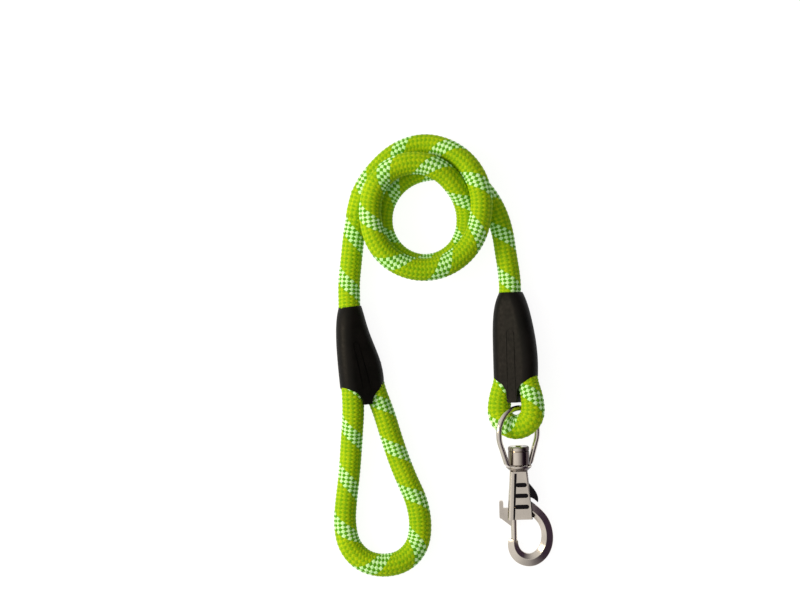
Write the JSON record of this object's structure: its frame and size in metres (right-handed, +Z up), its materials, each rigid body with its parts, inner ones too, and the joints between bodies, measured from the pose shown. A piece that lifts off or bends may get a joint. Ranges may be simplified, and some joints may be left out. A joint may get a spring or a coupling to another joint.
{
  "type": "rope training leash",
  "caption": "Braided rope leash coiled on a surface, with a hand loop, moulded joint sleeves and a swivel bolt snap.",
  "frame": {"origin": "on the surface the leash lies on, under the middle of its rigid pieces (the two sleeves and the snap)", "axes": "+Z up from the surface; +Y from the snap towards the coil"},
  "size_m": [0.1234, 0.2489, 0.024],
  "materials": {
    "rope": "braided, lime green with pale reflective stitches",
    "sleeve": "matt black",
    "crimp": "pressed",
    "snap_metal": "polished nickel plate",
    "spring": "drawn wire"
  },
  "bodies": {
    "rope": {"rope_handle_end": "rope", "rope_coil": "rope", "rope_clip_end": "rope", "handle_sleeve": "sleeve", "handle_crimp_lower": "crimp", "handle_crimp_upper": "crimp", "clip_sleeve": "sleeve", "clip_crimp_lower": "crimp", "clip_crimp_upper": "crimp"},
    "bow": {"swivel_bow": "snap_metal"},
    "hook": {"hook_body": "snap_metal", "swivel_cap": "snap_metal", "bolt_spring": "spring"},
    "bolt": {"bolt": "snap_metal"}
  },
  "joints": [
    {"name": "bow_swing", "type": "hinge", "parent": "rope", "child": "bow", "pos_m": [0.04062, 0.00161, 0.01048], "axis": [-0.6428, 0, -0.766], "range_deg": [0, 70]},
    {"name": "hook_swivel", "type": "hinge", "parent": "bow", "child": "hook", "pos_m": [0.0422, -0.0232, 0.00795], "axis": [-0.0244, 0.9954, 0.0923], "continuous": true},
    {"name": "bolt_slide", "type": "slide", "parent": "hook", "child": "bolt", "axis": [-0.0244, 0.9954, 0.0923], "range_m": [0, 0.0095], "stiffness_N_per_m": 300, "springref_m": -0.004, "deforming": ["bolt_spring"]}
  ]
}
